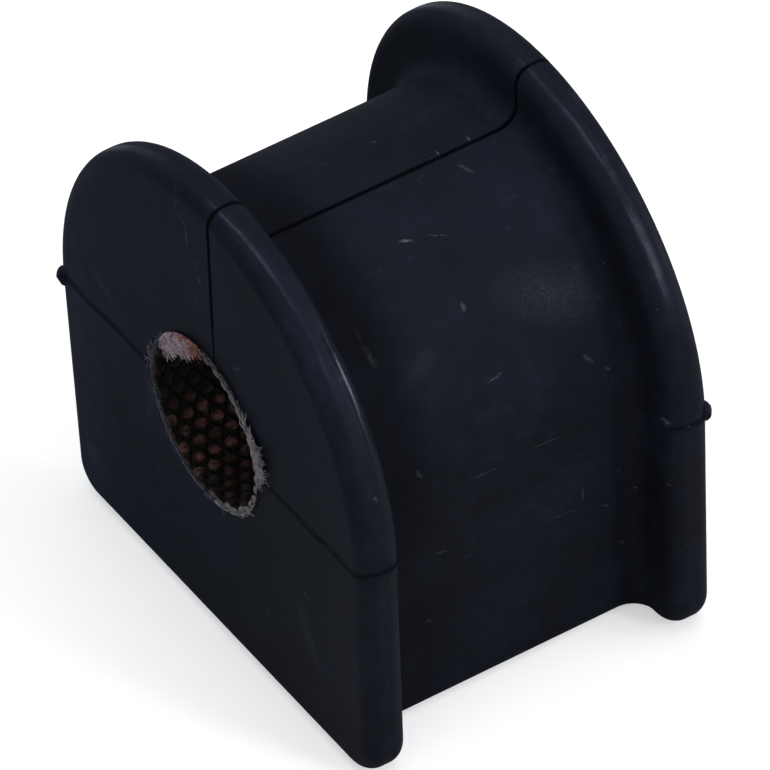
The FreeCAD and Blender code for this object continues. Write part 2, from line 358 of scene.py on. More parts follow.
FACE_MARKS: tuple[Mark, ...] = (
    Mark((-5.6, -24.5, 34.5), (-4.2, -25.0, 33.3), 0.22, 0.35),
    Mark((-4.2, -25.0, 33.3), (-5.5, -25.1, 31.1), 0.25, 0.25),
    Mark((-5.5, -25.1, 31.1), (-2.8, -25.1, 30.3), 0.22, 0.35),
    Mark((-2.8, -25.1, 30.3), (-2.7, -25.1, 26.4), 0.25, 0.30),
    Mark((-1.2, -25.1, 25.5), (-0.7, -25.2, 25.4), 0.30, 0.45),
    Mark((-0.2, -25.2, 23.7), (0.0, -25.2, 22.8), 0.25, 0.40),
    Mark((-1.1, -25.2, 19.9), (-1.0, -25.2, 18.9), 0.20, 0.30),
    Mark((-9.3, -25.1, 28.4), (-8.9, -25.1, 28.0), 0.25, 0.25),
    Mark((-14.6, -25.5, -8.0), (-14.1, -25.5, -9.2), 0.30, 0.30),
    Mark((6.6, -25.3, 14.0), (9.0, -25.3, 15.4), 0.40, 0.18),
    Mark((11.4, -25.5, -22.4), (12.2, -25.5, -23.5), 0.30, 0.25),
    Mark((20.6, -25.5, -12.2), (21.7, -25.5, -13.1), 0.45, 0.20),
    Mark((26.6, -25.5, -0.1), (28.8, -25.5, 0.5), 0.25, 0.20),
    Mark((-13.9, -25.3, -2.0), (-12.8, -25.4, -7.0), 1.3, 0.16),
    Mark((-10.5, -25.4, -9.4), (-6.6, -25.4, -12.3), 1.2, 0.12),
    Mark((-31.0, -25.5, -25.5), (-27.0, -25.5, -29.5), 3.0, 0.10),
    Mark((18.7, -25.5, -13.7), (23.4, -25.5, -24.5), 1.3, 0.10),
    Mark((-26.0, -25.4, 6.5), (-21.0, -25.4, 3.7), 0.8, 0.10),
    Mark((33.4, -22.3, 11.3), (33.6, -22.1, 10.6), 0.30, 0.45),
    Mark((33.8, -25.1, 0.6), (35.0, -21.9, 0.0), 0.30, 0.80),
    # Painted highlight: two bright strokes along the parting line on the far rim, beside the nib
    Mark((32.4, 19.5, 0.8), (35.1, 22.1, 0.1), 0.45, 0.90),
    Mark((33.0, 19.6, 1.3), (34.0, 20.0, 1.0), 0.40, 0.80),
)


class Strokes:
    """Draws marks one over the other. Each one waits for those before it, which keeps the shader small."""

    nudge: float = 0.001

    def group(self) -> bpy.types.NodeTree:
        """Builds the group that draws one soft stroke over those before it.

        Returns:
            A group with the earlier strokes and the stroke's place, turn, size and strength as inputs.
        """
        tree = bpy.data.node_groups.new("stroke", "ShaderNodeTree")
        for name, kind in (("Place", "Vector"), ("Before", "Float"), ("Middle", "Vector"),
                           ("Turn", "Vector"), ("Size", "Vector"), ("Strength", "Float")):
            tree.interface.new_socket(name=name, in_out="INPUT", socket_type=f"NodeSocket{kind}")
        tree.interface.new_socket(name="After", in_out="OUTPUT", socket_type="NodeSocketFloat")
        graph = Graph(tree)
        given = graph.add("NodeGroupInput").outputs
        result = graph.add("NodeGroupOutput").inputs["After"]
        nudge = (self.nudge, self.nudge, self.nudge)
        pushed = graph.vector("MULTIPLY_ADD", given["Before"], nudge, given["Place"])
        local = graph.add("ShaderNodeMapping", vector_type="TEXTURE")
        for name, value in (("Vector", pushed), ("Location", given["Middle"]), ("Rotation", given["Turn"]),
                            ("Scale", given["Size"])):
            graph.feed(local.inputs[name], value)
        ball = graph.add("ShaderNodeTexGradient", gradient_type="SPHERICAL")
        graph.feed(ball.inputs[0], local.outputs[0])
        mask = graph.times(ball.outputs["Fac"], given["Strength"])
        graph.feed(result, graph.larger(given["Before"], mask))
        return tree

    def draw(self, graph: Graph, place: Socket, marks: tuple[Mark, ...]) -> Socket:
        """Lays all the strokes over each other.

        Args:
            graph: The material's graph.
            place: Coordinates in millimetres.
            marks: The strokes.

        Returns:
            The strongest stroke at each place.
        """
        group = self.group()
        total = graph.fade(place, Fade(0.0, 1.0, 0.0, self.nudge))
        for mark in marks:
            run = Vector(mark.end) - Vector(mark.start)
            stroke = graph.add("ShaderNodeGroup", node_tree=group)
            graph.feed(stroke.inputs["Place"], place)
            graph.feed(stroke.inputs["Before"], total)
            stroke.inputs["Middle"].default_value = (Vector(mark.start) + Vector(mark.end)) / 2
            stroke.inputs["Turn"].default_value = run.to_track_quat("X", "Z").to_euler()
            stroke.inputs["Size"].default_value = (run.length / 2 + mark.width, mark.width, mark.width)
            stroke.inputs["Strength"].default_value = mark.strength
            total = stroke.outputs["After"]
        return total


@dataclass(frozen=True)
class GlossLine:
    """A polished line round a rim: its place along the bore, its reach and the heights that it covers."""

    middle: float
    reach: float
    heights: tuple[Fade, ...]


@dataclass
class RubberGround:
    """What the rubber's patterns are worked out from: its graph, coordinates and clouds of three sizes."""

    graph: Graph
    where: Coordinates
    broad: Socket
    mottle: Socket
    grain: Socket


@dataclass(frozen=True)
class RubberFinish:
    """Black moulded rubber with a dusty bloom, handling marks and the mould's parting line, with painted
    shade on the seat beside the near rim and beside the knife cut, painted sheen on the seat and faint
    painted highlights on the rims.
    """

    # Colours
    deep: Color = (0.0032, 0.0041, 0.0068)
    worn: Color = (0.0074, 0.0092, 0.0170)
    dust: Color = (0.050, 0.057, 0.085)
    # Pale for scratches and specks, and for the strokes of painted sheen and highlight
    scratch_and_sheen: Color = (0.17, 0.185, 0.22)
    # Near-black for the parting line, and for painted shade beside the near rim and the knife cut
    seam_dark_and_shade: Color = (0.0012, 0.0013, 0.0018)

    # Gloss
    specular: float = 0.12
    tint: Color = (0.68, 0.75, 1.0)
    roughness: float = 0.54
    mottle_roughness: float = 0.12
    bloom_roughness: float = 0.15
    root_roughness: float = 0.15
    face_gloss: float = 0.10
    rim_gloss: float = 0.04
    rubbed_gloss: float = 0.38
    flange_shadow_roughness: float = 0.40
    shade_roughness: float = 0.5

    # Clouds from broad to fine, and how the first two set the tone
    broad: Clouds = Clouds(0.07, 3, 0.55)
    mottle: Clouds = Clouds(0.45, 4, 0.6)
    grain: Clouds = Clouds(3.5, 3, 0.6)
    broad_share: float = 0.6
    mottle_share: float = 0.4
    tones: Fade = Fade(0.25, 0.75)

    # Bloom
    bloom_broad: Fade = Fade(0.45, 0.75)
    bloom_mottle: Fade = Fade(0.42, 0.7)
    bloom_grain: Fade = Fade(0.35, 0.75, 0.3, 1.0)
    bloom_share: float = 0.10

    # Specks of dust
    speck_scale: float = 0.55
    speck_edge: Fade = Fade(0.11, 0.03)
    speck_choice: Fade = Fade(0.72, 0.98)
    speck_share: float = 0.5

    # Hair-fine scratches, and what breaks them and the marks up
    shake: Clouds = Clouds(1.4, 2)
    shake_reach: float = 0.5
    hair: Clouds = Clouds(1.0, 2, 0.5, 0.6)
    hair_stretch: Place = (0.5, 0.16, 1.6)
    hair_level: float = 0.56
    hair_edge: Fade = Fade(0.012, 0.0)
    hair_mottle: Fade = Fade(0.50, 0.66, 0.0, 0.25)
    stroke_grain: Fade = Fade(0.35, 0.62, 0.15, 0.9)

    # Where the flat faces begin, and the pale left edge of the near one
    either_face: Fade = Fade(24.6, 25.1)
    near_face: Fade = Fade(-24.6, -25.1)
    pale_side: Fade = Fade(-19.0, -33.0)
    pale_mottle: Fade = Fade(0.35, 0.60, 0.4, 1.0)
    pale_share: float = 0.16

    # The parting line at half height, and painted shade beside the knife cut
    sway: Clouds = Clouds(0.12, 1)
    sway_reach: float = 1.2
    parting_edge: Fade = Fade(0.95, 0.05)
    parting_shade: float = 0.55
    cut_edge: Fade = Fade(0.50, 0.20)
    cut_height: Fade = Fade(12.0, 20.0, 0.0, 0.9)

    # Painted shadow of the near flange on the seat beside the near rim
    flange_shadow_seat: Fade = Fade(-6.0, -14.0)
    flange_shadow_root: Fade = Fade(-20.3, -19.3)
    flange_shadow_height: Fade = Fade(-14.0, 6.0, 0.35, 0.75)
    flange_shadow_broad: Fade = Fade(0.30, 0.60, 1.0, 0.8)

    # The rims, their rubbed lines, whose lighter colour is partly a painted highlight, and the roots of the
    # flanges
    rim_reach: Fade = Fade(33.7, 34.6)
    rim_lines: tuple[GlossLine, ...] = (
        GlossLine(-23.2, 0.9, (Fade(22.0, 28.0),)),
        GlossLine(-20.8, 1.3, (Fade(12.0, 18.0), Fade(31.0, 27.0))),
        GlossLine(22.0, 1.4, (Fade(12.0, 19.0),)),
    )
    line_core: float = 0.2
    rubbed_mottle: Fade = Fade(0.35, 0.60, 0.75, 1.0)
    rubbed_highlight_share: float = 0.03
    root_start: Fade = Fade(18.6, 19.4)
    root_end: Fade = Fade(20.2, 19.7)

    # Relief, in millimetres
    swells: Clouds = Clouds(0.16, 2)
    swell_height: float = 0.18
    pores: Clouds = Clouds(6.0, 3, 0.6)
    pore_height: float = 0.010
    groove_edge: Fade = Fade(0.7, 0.0)
    groove_height: float = -0.10

    def start(self, graph: Graph) -> RubberGround:
        """Lays the ground for the patterns.

        Args:
            graph: The material's graph.

        Returns:
            The ground.
        """
        where = graph.coordinates()
        sizes = (self.broad, self.mottle, self.grain)
        return RubberGround(graph, where, *(graph.noise(where.place, size).outputs[0] for size in sizes))

    def bloom(self, ground: RubberGround) -> Socket:
        """Finds the dusty bloom.

        Args:
            ground: The ground.

        Returns:
            How strong the bloom is.
        """
        graph = ground.graph
        broad = graph.fade(ground.broad, self.bloom_broad)
        haze = graph.times(broad, graph.fade(ground.mottle, self.bloom_mottle))
        return graph.times(haze, graph.fade(ground.grain, self.bloom_grain))

    def specks(self, ground: RubberGround) -> Socket:
        """Scatters specks of dust.

        Args:
            ground: The ground.

        Returns:
            How strong the specks are.
        """
        graph = ground.graph
        cells = graph.add("ShaderNodeTexVoronoi")
        graph.feed(cells.inputs["Vector"], ground.where.place)
        cells.inputs["Scale"].default_value = self.speck_scale
        pick = graph.add("ShaderNodeSeparateColor")
        graph.feed(pick.inputs[0], cells.outputs["Color"])
        edge = graph.fade(cells.outputs["Distance"], self.speck_edge)
        return graph.times(edge, graph.fade(pick.outputs[0], self.speck_choice))

    def shaken(self, ground: RubberGround) -> Socket:
        """Shakes the coordinates a little, so that scratches aren't quite straight.

        Args:
            ground: The ground.

        Returns:
            The shaken coordinates.
        """
        graph = ground.graph
        jitter = graph.noise(ground.where.place, self.shake).outputs["Color"]
        jitter = graph.vector("SUBTRACT", jitter, (NOISE_MIDDLE, NOISE_MIDDLE, NOISE_MIDDLE))
        jitter = graph.vector("SCALE", jitter, scale=self.shake_reach)
        return graph.vector("ADD", ground.where.place, jitter)

    def hairs(self, ground: RubberGround, place: Socket) -> Socket:
        """Draws hair-fine scratches.

        Args:
            ground: The ground.
            place: The shaken coordinates.

        Returns:
            How strong they are.
        """
        graph = ground.graph
        stretched = graph.vector("MULTIPLY", place, self.hair_stretch)
        level = graph.noise(stretched, self.hair).outputs[0]
        hair = graph.fade(graph.size(graph.minus(level, self.hair_level)), self.hair_edge)
        return graph.times(hair, graph.fade(ground.mottle, self.hair_mottle))

    def pale_edge(self, ground: RubberGround) -> Socket:
        """Finds the pale left edge of the near face.

        Args:
            ground: The ground.

        Returns:
            How pale it is.
        """
        graph, where = ground.graph, ground.where
        near = graph.fade(where.along, self.near_face)
        edge = graph.times(near, graph.fade(where.across, self.pale_side))
        return graph.times(edge, graph.fade(ground.mottle, self.pale_mottle))

    def off_parting(self, ground: RubberGround) -> Socket:
        """Measures how far a place is from the parting line.

        Args:
            ground: The ground.

        Returns:
            The distance, in millimetres.
        """
        graph, where = ground.graph, ground.where
        sway = graph.minus(graph.noise(where.place, self.sway).outputs[0], NOISE_MIDDLE)
        return graph.size(graph.minus(where.up, graph.times(sway, self.sway_reach)))

    def shade(self, ground: RubberGround, gap: Socket, on_face: Socket) -> Socket:
        """Darkens the parting line on the faces, and paints shade on the rubber beside the knife cut, which
        widens the slit's dark line.

        Args:
            ground: The ground.
            gap: The distance from the parting line.
            on_face: How much a place is on a flat face.

        Returns:
            How dark it is.
        """
        graph, where = ground.graph, ground.where
        seam = graph.times(graph.fade(gap, self.parting_edge), graph.times(on_face, self.parting_shade))
        beside = graph.size(graph.minus(where.across, SLIT_OFFSET))
        # Painted shade beside the knife cut, which widens the slit's dark line
        cut = graph.times(graph.fade(beside, self.cut_edge), graph.fade(where.up, self.cut_height))
        return graph.larger(seam, cut)

    def flange_shadow(self, ground: RubberGround) -> Socket:
        """Finds where the near flange's shadow is painted on the seat beside the near rim.

        Args:
            ground: The ground.

        Returns:
            How strong it is.
        """
        graph, where = ground.graph, ground.where
        seat = graph.fade(where.along, self.flange_shadow_seat)
        strip = graph.times(seat, graph.fade(where.along, self.flange_shadow_root))
        strip = graph.times(strip, graph.fade(where.up, self.flange_shadow_height))
        return graph.times(strip, graph.fade(ground.broad, self.flange_shadow_broad))

    def rim(self, ground: RubberGround) -> Socket:
        """Finds the rounds of both rims, by the distance from the arch's centre and from the tapered sides.

        Args:
            ground: The ground.

        Returns:
            How much a place is on a rim.
        """
        graph, where = ground.graph, ground.where
        high = graph.minus(where.up, ARCH_RISE)
        flare = graph.times(graph.math("MINIMUM", high, 0.0), -SIDE_TAPER)
        side = graph.plus(graph.size(where.across), flare)
        return graph.fade(graph.length(side, graph.larger(high, 0.0)), self.rim_reach)

    def rubbed_and_highlight(self, ground: RubberGround, rim: Socket) -> Socket:
        """Finds the lines that handling has polished on the rims, which are also lightened a little as a
        painted highlight.

        Args:
            ground: The ground.
            rim: How much a place is on a rim.

        Returns:
            How polished it is.
        """
        graph, where = ground.graph, ground.where
        lines = []
        for line in self.rim_lines:
            gap = graph.size(graph.minus(where.along, line.middle))
            strip = graph.fade(gap, Fade(line.reach, self.line_core * line.reach))
            for height in line.heights:
                strip = graph.times(strip, graph.fade(where.up, height))
            lines.append(strip)
        total = lines[0]
        for strip in lines[1:]:
            total = graph.larger(total, strip)
        return graph.times(graph.times(total, rim), graph.fade(ground.mottle, self.rubbed_mottle))

    def root(self, ground: RubberGround) -> Socket:
        """Finds the roots of the flanges.

        Args:
            ground: The ground.

        Returns:
            How much a place is in a root.
        """
        graph = ground.graph
        along = graph.size(ground.where.along)
        return graph.times(graph.fade(along, self.root_start), graph.fade(along, self.root_end))

    def relief(self, ground: RubberGround, gap: Socket) -> Socket:
        """Works out the small relief: broad swells, pores and a groove at the parting line.

        Args:
            ground: The ground.
            gap: The distance from the parting line.

        Returns:
            The height, in millimetres.
        """
        graph, where = ground.graph, ground.where
        wavy = graph.times(graph.noise(where.place, self.swells).outputs[0], self.swell_height)
        fine = graph.times(graph.noise(where.place, self.pores).outputs[0], self.pore_height)
        groove = graph.times(graph.fade(gap, self.groove_edge), self.groove_height)
        return graph.plus(graph.plus(wavy, fine), groove)

    def make(self) -> bpy.types.Material:
        """Builds the material.

        Returns:
            The finished material.
        """
        material, graph, shader = new_material("moulded_rubber")
        ground = self.start(graph)
        tone = graph.times(ground.broad, self.broad_share)
        tone = graph.plus(tone, graph.times(ground.mottle, self.mottle_share))
        color = graph.blend(graph.fade(tone, self.tones), self.deep, self.worn)
        bloom = self.bloom(ground)
        color = graph.blend(graph.times(bloom, self.bloom_share), color, self.dust)
        color = graph.blend(graph.times(self.specks(ground), self.speck_share), color, self.dust)
        shaken = self.shaken(ground)
        color = graph.blend(self.hairs(ground, shaken), color, self.dust)
        strokes = Strokes().draw(graph, shaken, SEAT_MARKS + FACE_MARKS)
        broken = graph.times(strokes, graph.fade(ground.grain, self.stroke_grain))
        # Scratches, specks and scuffs, with the strokes of painted sheen and highlight
        color = graph.blend(broken, color, self.scratch_and_sheen)
        gap = self.off_parting(ground)
        on_face = graph.fade(graph.size(ground.where.along), self.either_face)
        color = graph.blend(graph.times(self.pale_edge(ground), self.pale_share), color, self.dust)
        shade = self.shade(ground, gap, on_face)
        flange_shadow = self.flange_shadow(ground)
        # Painted shadow of the near flange on the seat, in near-black
        color = graph.blend(flange_shadow, color, self.seam_dark_and_shade)
        # Dark parting line, and painted shade beside the knife cut
        color = graph.blend(shade, color, self.seam_dark_and_shade)
        rim = self.rim(ground)
        rubbed_and_highlight = self.rubbed_and_highlight(ground, rim)
        # Rubbed lines on the rims, lightened a little, partly as a painted highlight
        color = graph.blend(graph.times(rubbed_and_highlight, self.rubbed_highlight_share), color, self.dust)
        graph.feed(shader.inputs["Base Color"], color)
        shader.inputs["Specular IOR Level"].default_value = self.specular
        shader.inputs["Specular Tint"].default_value = (*self.tint, 1.0)

        rough = graph.plus(self.roughness, graph.times(ground.mottle, self.mottle_roughness))
        rough = graph.plus(rough, graph.times(bloom, self.bloom_roughness))
        rough = graph.plus(rough, graph.times(self.root(ground), self.root_roughness))
        for mask, gloss in ((on_face, self.face_gloss), (rim, self.rim_gloss), (rubbed_and_highlight, self.rubbed_gloss)):
            rough = graph.minus(rough, graph.times(mask, gloss))
        rough = graph.plus(rough, graph.times(flange_shadow, self.flange_shadow_roughness))
        rough = graph.math("ADD", rough, graph.times(shade, self.shade_roughness), clamp=True)
        graph.feed(shader.inputs["Roughness"], rough)
        graph.feed(shader.inputs["Normal"], graph.bump(self.relief(ground, gap)))
        return material


@dataclass(frozen=True)
class YarnFinish:
    """Copper-brown yarn with painted shade where it lies deep in the weave and over the bore's shaded upper
    half and right side, faded tops that partly stand in for painted highlights, and pale where it is cut at
    the mouth.
    """

    name: str
    top: Color
    deep: Color
    stretch: Place
    cut: Color = (0.30, 0.27, 0.27)
    faded_and_glint: Color = (0.16, 0.12, 0.085)
    # Near-black for the painted shade inside the bore
    painted_shade: Color = (0.006, 0.005, 0.0035)
    roughness: float = 0.85
    specular: float = 0.08
    sheen: float = 0.03

    # Fibres, and the height in the weave by the distance from the bore's axis, which sets the painted shade
    # deep in the weave
    fibres: Clouds = Clouds(1.0, 3, 0.6)
    fibre_share: Fade = Fade(0.35, 0.75, 0.0, 0.55)
    fibre_height: float = 0.12
    crown: Fade = Fade(11.45, 11.0)

    # Worn yarns, and faded yarn tops that also stand in for painted highlights on the knuckles
    wear: Clouds = Clouds(0.55, 2)
    wear_edge: Fade = Fade(0.40, 0.58)
    wear_share: float = 0.85
    fading_and_glint: Clouds = Clouds(0.8, 1, 0.5, 0.3)
    fading_and_glint_share: Fade = Fade(0.52, 0.66, 0.0, 0.45)

    # Painted shade over the upper half of the bore and on its right, with a patchy edge
    patches: Clouds = Clouds(0.5, 2)
    painted_shade_reach: float = 4.0
    painted_shade_height: Fade = Fade(-6.5, -2.0, 0.0, 0.95)
    side_shade_reach: float = 3.0
    side_shade_edge: Fade = Fade(-4.0, 2.5, 0.0, 0.75)

    # Cut ends at the mouth, brighter on the right
    end_reach: float = 0.6
    end_edge: Fade = Fade(25.9, 26.15)
    end_side: Fade = Fade(-3.0, 6.0, 0.05, 0.6)

    def make(self) -> bpy.types.Material:
        """Builds the material.

        Returns:
            The finished material.
        """
        material, graph, shader = new_material(self.name)
        where = graph.coordinates()
        radius = graph.length(where.across, where.up)
        turn = graph.times(graph.math("ARCTAN2", where.up, where.across), WEAVE_RADIUS)
        combine = graph.add("ShaderNodeCombineXYZ")
        for socket, value in zip(combine.inputs, (turn, where.along, radius)):
            graph.feed(socket, value)
        rolled = combine.outputs[0]
        fibres = graph.noise(graph.vector("MULTIPLY", rolled, self.stretch), self.fibres).outputs[0]
        patches = graph.noise(where.place, self.patches).outputs[0]
        height = graph.fade(radius, self.crown)
        # Painted shade: the yarn is darker where it sinks deep into the weave
        color = graph.blend(height, self.deep, self.top)
        color = graph.blend(graph.fade(fibres, self.fibre_share), color, self.deep)
        worn = graph.fade(graph.noise(rolled, self.wear).outputs[0], self.wear_edge)
        color = graph.blend(graph.times(worn, self.wear_share), color, self.deep)
        faded_and_glint = graph.fade(graph.noise(rolled, self.fading_and_glint).outputs[0], self.fading_and_glint_share)
        # Faded, paler knuckle tops, partly a painted highlight
        color = graph.blend(graph.times(faded_and_glint, height), color, self.faded_and_glint)
        upper_shade = graph.fade(graph.plus(where.up, graph.times(patches, self.painted_shade_reach)), self.painted_shade_height)
        side_shade = graph.fade(graph.plus(where.across, graph.times(patches, self.side_shade_reach)), self.side_shade_edge)
        # Painted shade: the bore's upper half and right side are darkened where the wall lies in shadow
        color = graph.blend(graph.larger(upper_shade, side_shade), color, self.painted_shade)
        reach = graph.plus(graph.size(where.along), graph.times(patches, self.end_reach))
        bright = graph.fade(where.across, self.end_side)
        color = graph.blend(graph.times(graph.fade(reach, self.end_edge), bright), color, self.cut)
        graph.feed(shader.inputs["Base Color"], color)
        shader.inputs["Roughness"].default_value = self.roughness
        shader.inputs["Specular IOR Level"].default_value = self.specular
        shader.inputs["Sheen Weight"].default_value = self.sheen
        graph.feed(shader.inputs["Normal"], graph.bump(graph.times(fibres, self.fibre_height)))
        return material


@dataclass(frozen=True)
class PlainFinish:
    """A matt finish with a little cloudiness, for backing and threads."""

    name: str
    color: Color
    other: Color
    clouds: Clouds = Clouds(1.5, 3, 0.6)
    mix: Fade = Fade(0.35, 0.65)
    roughness: float = 0.9
    specular: float = 0.15

    def make(self) -> bpy.types.Material:
        """Builds the material.

        Returns:
            The finished material.
        """
        material, graph, shader = new_material(self.name)
        clouds = graph.noise(graph.millimetres(), self.clouds).outputs[0]
        color = graph.blend(graph.fade(clouds, self.mix), self.color, self.other)
        graph.feed(shader.inputs["Base Color"], color)
        shader.inputs["Roughness"].default_value = self.roughness
        shader.inputs["Specular IOR Level"].default_value = self.specular
        return material


def select_only(pieces: list[bpy.types.Object]) -> None:
    """Selects some pieces and nothing else, and makes the first one active.

    Args:
        pieces: The pieces.
    """
    bpy.ops.object.select_all(action="DESELECT")
    for piece in pieces:
        piece.select_set(True)
    bpy.context.view_layer.objects.active = pieces[0]


def join(pieces: list[bpy.types.Object]) -> bpy.types.Object:
    """Joins some pieces into the first one.

    Args:
        pieces: The pieces.

    Returns:
        The first piece.
    """
    select_only(pieces)
    bpy.ops.object.join()
    return pieces[0]


def apply_place(location: bool = False, rotation: bool = False, scale: bool = False) -> None:
    """Moves the selected piece's place, turn or scale into its mesh."""
    bpy.ops.object.transform_apply(location=location, rotation=rotation, scale=scale)


def cut_lengthwise(piece: bpy.types.Object, cuts: int) -> None:
    """Cuts the edges that run along Z into equal lengths, and leaves the piece open for editing.

    Args:
        piece: The piece.
        cuts: How many cuts each edge gets.
    """
    select_only([piece])
    bpy.ops.object.mode_set(mode="EDIT")
    bpy.ops.mesh.select_mode(type="EDGE")
    bpy.ops.mesh.select_all(action="DESELECT")
    bpy.ops.object.mode_set(mode="OBJECT")
    level = 0.001 * MM
    for edge in piece.data.edges:
        low, high = (piece.data.vertices[index].co.z for index in edge.vertices)
        edge.select = abs(high - low) > level
    bpy.ops.object.mode_set(mode="EDIT")
    bpy.ops.mesh.subdivide(number_cuts=cuts)


@dataclass
class WovenLiner:
    """The bore's lining: a plain weave of flat yarns, cut by the same knife as the rubber."""

    length: float = 51.8
    warps: int = 38
    wefts: int = 44
    gap: float = 0.3
    warp_size: Span = (0.36, 0.69)
    weft_size: Span = (0.24, 0.50)
    warp_sway: float = 0.33
    weft_sway: float = 0.20
    steps: int = 8
    sides: int = 6
    backing_depth: float = 0.42
    backing_thickness: float = 0.16
    backing_margin: float = 0.5
    backing_cuts: int = 127

    def around(self) -> float:
        """The weave's width when it lies flat."""
        return 2 * math.pi * WEAVE_RADIUS - self.gap

    def pitch(self, kind: Weave) -> float:
        """The distance between two yarns of one kind."""
        return self.around() / self.warps if kind is Weave.WARP else self.length / self.wefts

    def yarn(self, kind: Weave, number: int) -> bpy.types.Object:
        """Shapes one yarn of the flat weave.

        Args:
            kind: Warp along the bore or weft round it.
            number: 0 or 1, the yarn's place in the repeat.

        Returns:
            The yarn, which goes over and under along its whole length.
        """
        run = self.length if kind is Weave.WARP else self.around()
        crossings = self.wefts if kind is Weave.WARP else self.warps
        cuts = crossings * self.steps // 2
        step = run / cuts
        bpy.ops.object.select_all(action="DESELECT")
        bpy.ops.mesh.primitive_cylinder_add(vertices=self.sides, radius=1, depth=run * MM,
                                            end_fill_type="NGON")
        yarn = bpy.context.object
        yarn.name = f"{kind.value}_{number}"
        thickness, width = self.warp_size if kind is Weave.WARP else self.weft_size
        yarn.scale = (thickness * MM, width * MM, 1)
        apply_place(scale=True)
        cut_lengthwise(yarn, cuts - 1)
        bpy.ops.mesh.select_mode(type="VERT")
        for phase in range(self.steps):
            bpy.ops.mesh.select_all(action="DESELECT")
            bpy.ops.object.mode_set(mode="OBJECT")
            for vertex in yarn.data.vertices:
                ring = round((vertex.co.z / MM + run / 2) / step)
                vertex.select = ring % self.steps == phase
            bpy.ops.object.mode_set(mode="EDIT")
            turn = 2 * math.pi * (phase / self.steps) - math.pi / 2
            sway = self.warp_sway if kind is Weave.WARP else -self.weft_sway
            shift = (1 if number == 0 else -1) * sway * math.cos(turn)
            bpy.ops.transform.translate(value=(shift * MM, 0, 0))
        bpy.ops.object.mode_set(mode="OBJECT")
        return yarn

    def lay(self, kind: Weave) -> bpy.types.Object:
        """Lays all yarns of one kind side by side in the flat weave.

        Args:
            kind: Warp or weft.

        Returns:
            The yarns as one piece.
        """
        pitch = self.pitch(kind)
        count = self.warps if kind is Weave.WARP else self.wefts
        pair = []
        for number in (0, 1):
            yarn = self.yarn(kind, number)
            first = (-pitch * count / 2 + (number + 0.5) * pitch) * MM
            if kind is Weave.WARP:
                yarn.rotation_euler = (math.radians(90), 0, 0)
                yarn.location = (0, 0, first)
            else:
                yarn.location = (0, first, 0)
            apply_place(location=True, rotation=True)
            array = yarn.modifiers.new("side_by_side", "ARRAY")
            array.count = count // 2
            array.use_relative_offset = False
            array.use_constant_offset = True
            step = 2 * pitch * MM
            array.constant_offset_displace = (0, 0, step) if kind is Weave.WARP else (0, step, 0)
            bpy.ops.object.modifier_apply(modifier="side_by_side")
            pair.append(yarn)
        return join(pair)

    def backing(self) -> bpy.types.Object:
        """Makes the dark rubber that the weave is bonded to, as a thin flat sheet.

        Returns:
            The sheet.
        """
        bpy.ops.object.select_all(action="DESELECT")
        bpy.ops.mesh.primitive_cube_add(size=1, location=(-self.backing_depth * MM, 0, 0))
        sheet = bpy.context.object
        sheet.name = "backing"
        length = self.length - self.backing_margin
        sheet.scale = (self.backing_thickness * MM, length * MM, self.around() * MM)
        apply_place(location=True, scale=True)
        cut_lengthwise(sheet, self.backing_cuts)
        bpy.ops.object.mode_set(mode="OBJECT")
        return sheet

    def build(self) -> bpy.types.Object:
        """Makes the flat weave, rolls it up and turns its cut to the knife's line.

        Returns:
            The finished liner.
        """
        layers = [self.lay(Weave.WARP), self.lay(Weave.WEFT), self.backing()]
        finishes = (
            YarnFinish("warp_yarn", (0.155, 0.062, 0.050), (0.014, 0.008, 0.007), (9.0, 1.0, 3.0)),
            YarnFinish("weft_yarn", (0.013, 0.010, 0.008), (0.005, 0.0045, 0.004), (1.0, 9.0, 3.0)),
            PlainFinish("liner_backing", (0.010, 0.009, 0.008), (0.016, 0.012, 0.010)),
        )
        for layer, finish in zip(layers, finishes):
            layer.data.materials.append(finish.make())
        liner = join(layers)
        liner.name = "woven_liner"
        bend = liner.modifiers.new("roll", "SIMPLE_DEFORM")
        bend.deform_method = "BEND"
        bend.deform_axis = "Y"
        bend.angle = self.around() / WEAVE_RADIUS
        bpy.ops.object.modifier_apply(modifier="roll")
        liner.location = (-WEAVE_RADIUS * MM, 0, 0)
        apply_place(location=True)
        slit = math.asin(SLIT_OFFSET / WEAVE_RADIUS)
        liner.rotation_euler = (0, slit - math.pi / 2, 0)
        apply_place(rotation=True)
        bpy.ops.object.shade_smooth()
        return liner


@dataclass(frozen=True)
class Tuft:
    """Fibres over a stretch of the mouth, in degrees from +X towards +Z.

    Their reach is their shortest and longest length in millimetres. Out is how much they lean over the
    rubber, from -1 to 1, and size is their thickness beside the usual one.
    """

    cotton: Cotton
    angles: Span
    count: int
    reach: Span
    out: float
    size: float


@dataclass(frozen=True)
class Binding:
    """A loose thread along a stretch of the cut edge, in degrees, and its thickness beside others."""

    cotton: Cotton
    angles: Span
    size: float


